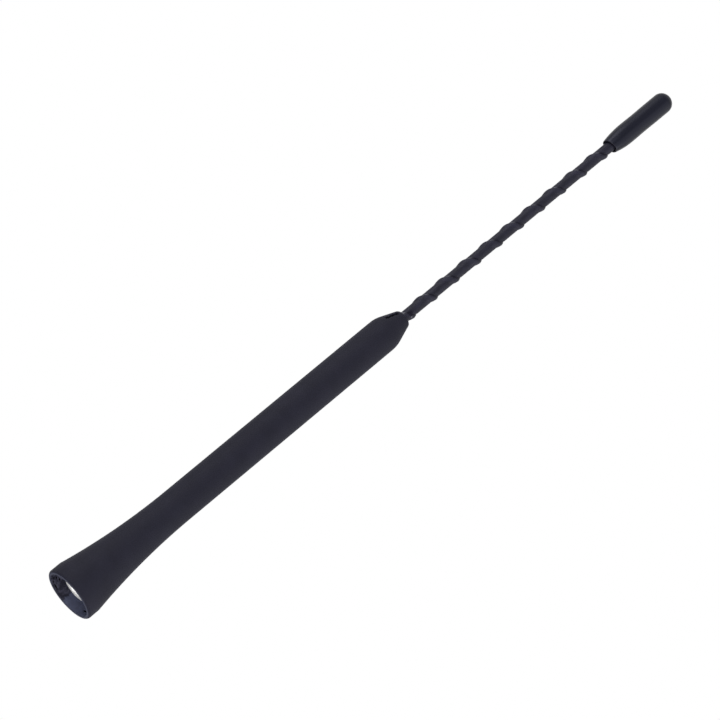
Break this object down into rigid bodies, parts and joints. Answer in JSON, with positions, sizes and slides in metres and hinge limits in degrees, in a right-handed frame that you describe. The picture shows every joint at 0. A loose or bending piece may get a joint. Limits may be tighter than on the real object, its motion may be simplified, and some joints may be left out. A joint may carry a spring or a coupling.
{
  "type": "car mast aerial",
  "caption": "Short upright car aerial: a flared moulded sheath with a screw-in foot, a thin whip with a spiral ridge, and a rounded tip cap.",
  "frame": {"origin": "centre of the plane of the mouth rim, where the foot meets the car", "axes": "+Z along the mast towards the tip; the ridge faces +X at a height of 150.75 mm; the split in the cone faces -X and -Y"},
  "size_m": [0.0188, 0.0188, 0.28],
  "materials": {
    "sheath_rubber": "matte moulded",
    "nickel_brass": "bright nickel plate",
    "glass_fibre": "pultruded",
    "former_plastic": "moulded",
    "enamelled_copper": "enamelled",
    "solder": "satin",
    "tube_plastic": "shrunk",
    "sleeve_plastic": "shrunk, slight sheen",
    "cap_plastic": "satin gloss",
    "adhesive": "cured"
  },
  "bodies": {
    "root": {"mast_sheath": "sheath_rubber", "threaded_ferrule": "nickel_brass", "core_rod": "glass_fibre", "coil_former": "former_plastic", "loading_coil": "enamelled_copper", "solder_joint": "solder", "coil_tube": "tube_plastic", "whip_winding": "enamelled_copper", "whip_sleeve": "sleeve_plastic", "tip_cap": "cap_plastic", "tip_adhesive": "adhesive"}
  },
  "joints": []
}
